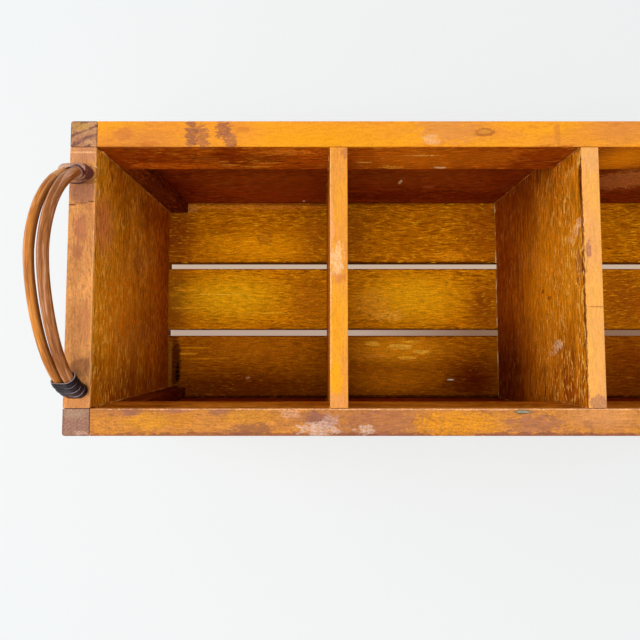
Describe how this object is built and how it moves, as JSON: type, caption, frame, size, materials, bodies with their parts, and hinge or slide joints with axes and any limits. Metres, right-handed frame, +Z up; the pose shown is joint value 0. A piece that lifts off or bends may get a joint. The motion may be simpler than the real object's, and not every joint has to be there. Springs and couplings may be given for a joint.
{
  "type": "storage caddy",
  "caption": "Long wooden storage caddy with divided open compartments, a slatted floor and bent rattan handles.",
  "frame": {"origin": "centre of the footprint, on the table", "axes": "+X along the caddy to its right end, +Y to its back, +Z up"},
  "size_m": [0.54, 0.214, 0.2305],
  "materials": {
    "post_wood": "stained end grain under satin varnish",
    "end_board_wood": "amber stain under satin varnish",
    "rail_wood": "honey orange stain under satin varnish",
    "panel_wood": "dark amber stain under satin varnish",
    "block_wood": "dark red-brown stain, scratched",
    "divider_wood": "honey stain under satin varnish",
    "slat_wood": "golden brown stain under satin varnish",
    "rattan_rod": "varnished rattan skin, semi-gloss",
    "cane_binding": "dark varnished cane strip, glossy"
  },
  "bodies": {
    "root": {"cane_binding_back_left": "cane_binding", "cane_binding_back_right": "cane_binding", "cane_binding_front_left": "cane_binding", "cane_binding_front_right": "cane_binding", "corner_block_back_left": "block_wood", "corner_block_back_right": "block_wood", "corner_block_front_left": "block_wood", "corner_block_front_right": "block_wood", "divider_left": "divider_wood", "divider_right": "divider_wood", "end_board_left": "end_board_wood", "end_board_right": "end_board_wood", "floor_slat_back": "slat_wood", "floor_slat_front": "slat_wood", "floor_slat_middle": "slat_wood", "handle_rod_left_inner": "rattan_rod", "handle_rod_left_outer": "rattan_rod", "handle_rod_right_inner": "rattan_rod", "handle_rod_right_outer": "rattan_rod", "post_back_left": "post_wood", "post_back_right": "post_wood", "post_front_left": "post_wood", "post_front_right": "post_wood", "side_panel_back": "panel_wood", "side_panel_front": "panel_wood", "top_rail_back": "rail_wood", "top_rail_front": "rail_wood"}
  },
  "joints": []
}
